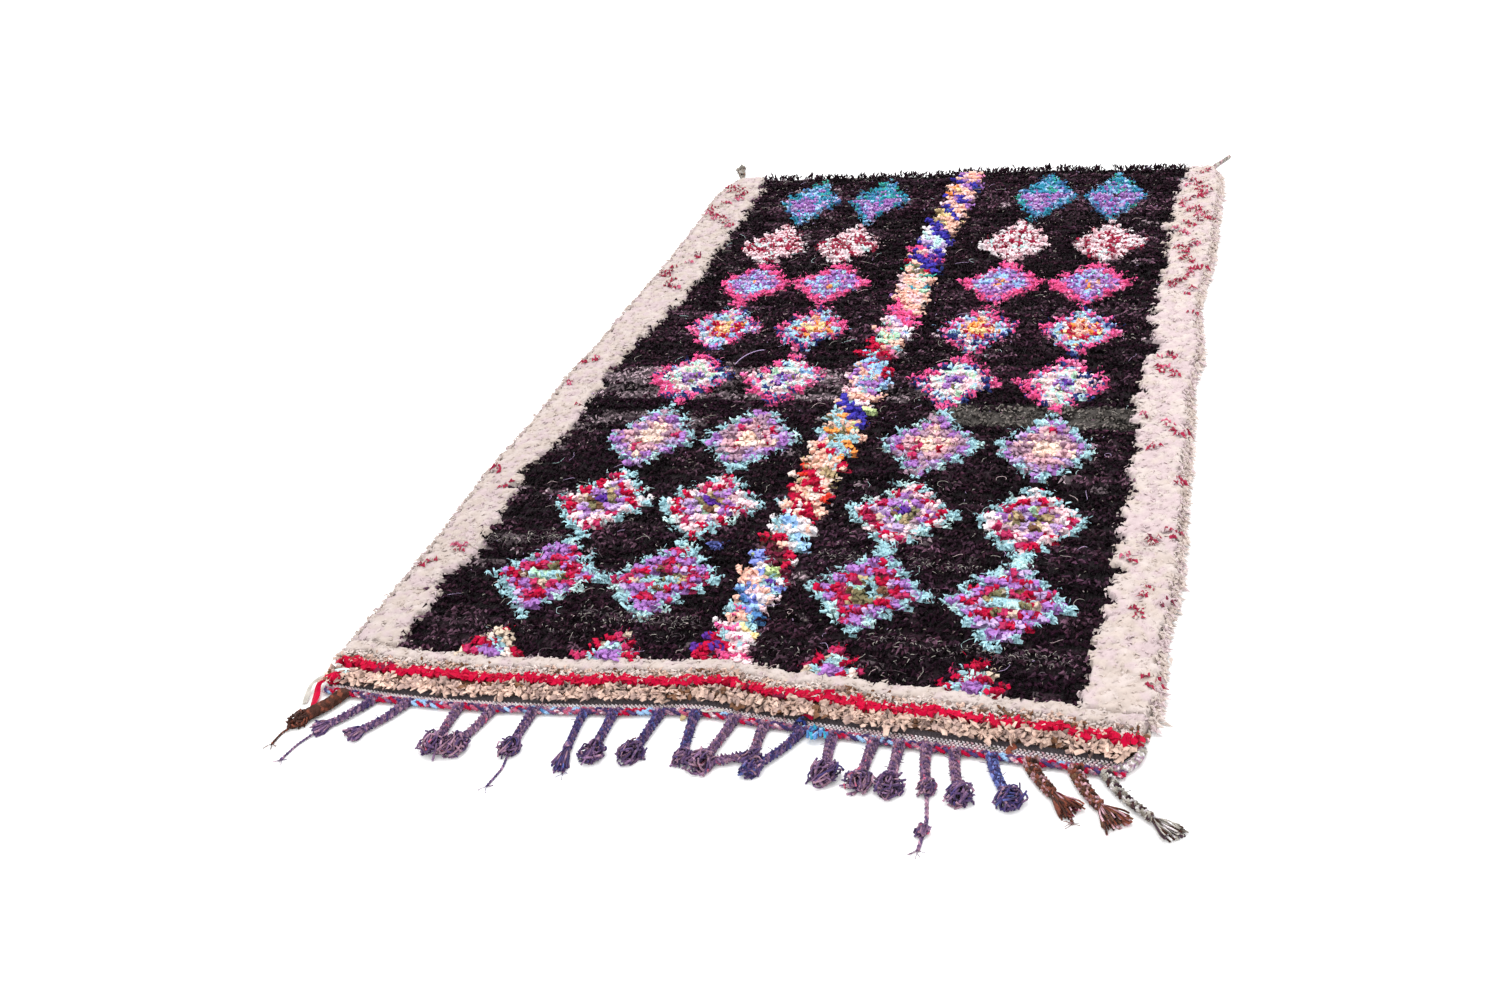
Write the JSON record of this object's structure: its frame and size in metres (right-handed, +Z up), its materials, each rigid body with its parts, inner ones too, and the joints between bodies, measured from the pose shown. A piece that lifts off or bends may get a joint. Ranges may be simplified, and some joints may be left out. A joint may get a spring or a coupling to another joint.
{
  "type": "boucherouite rug",
  "caption": "Shaggy rag-pile rug with a black field, columns of bright diamonds, cream side borders and a fringe of short plaited tassels at one end, lying flat.",
  "frame": {"origin": "middle of the rug's flat underside, on the floor", "axes": "+Y along the rug to its plain far end, away from the tasselled end; +X across the rug to the right as seen from the tasselled end; +Z up from the floor through the pile"},
  "size_m": [1.4182, 2.5978, 0.0235],
  "materials": {
    "black_pile": "matte shag of near-black rag strips with a faint purple cast",
    "cream_pile": "matte shag of cream and off-white rag strips with burgundy flecks",
    "coloured_pile": "matte shag of pink, violet, blue, aqua, peach and red rag strips",
    "flat_weave": "matte plain weave of dark wool weft over a twisted warp",
    "rose_twine": "matte twined and plaited yarn in rose, pink, red and blue",
    "purple_plait": "matte plaits of purple, lilac and blue yarn with cut ends",
    "drab_warp": "matte twisted grey-brown warp wool"
  },
  "bodies": {
    "root": {"rug_pile": "black_pile", "twined_fringe": "rose_twine", "corner_tie_left": "drab_warp", "corner_tie_right": "drab_warp"}
  },
  "joints": []
}
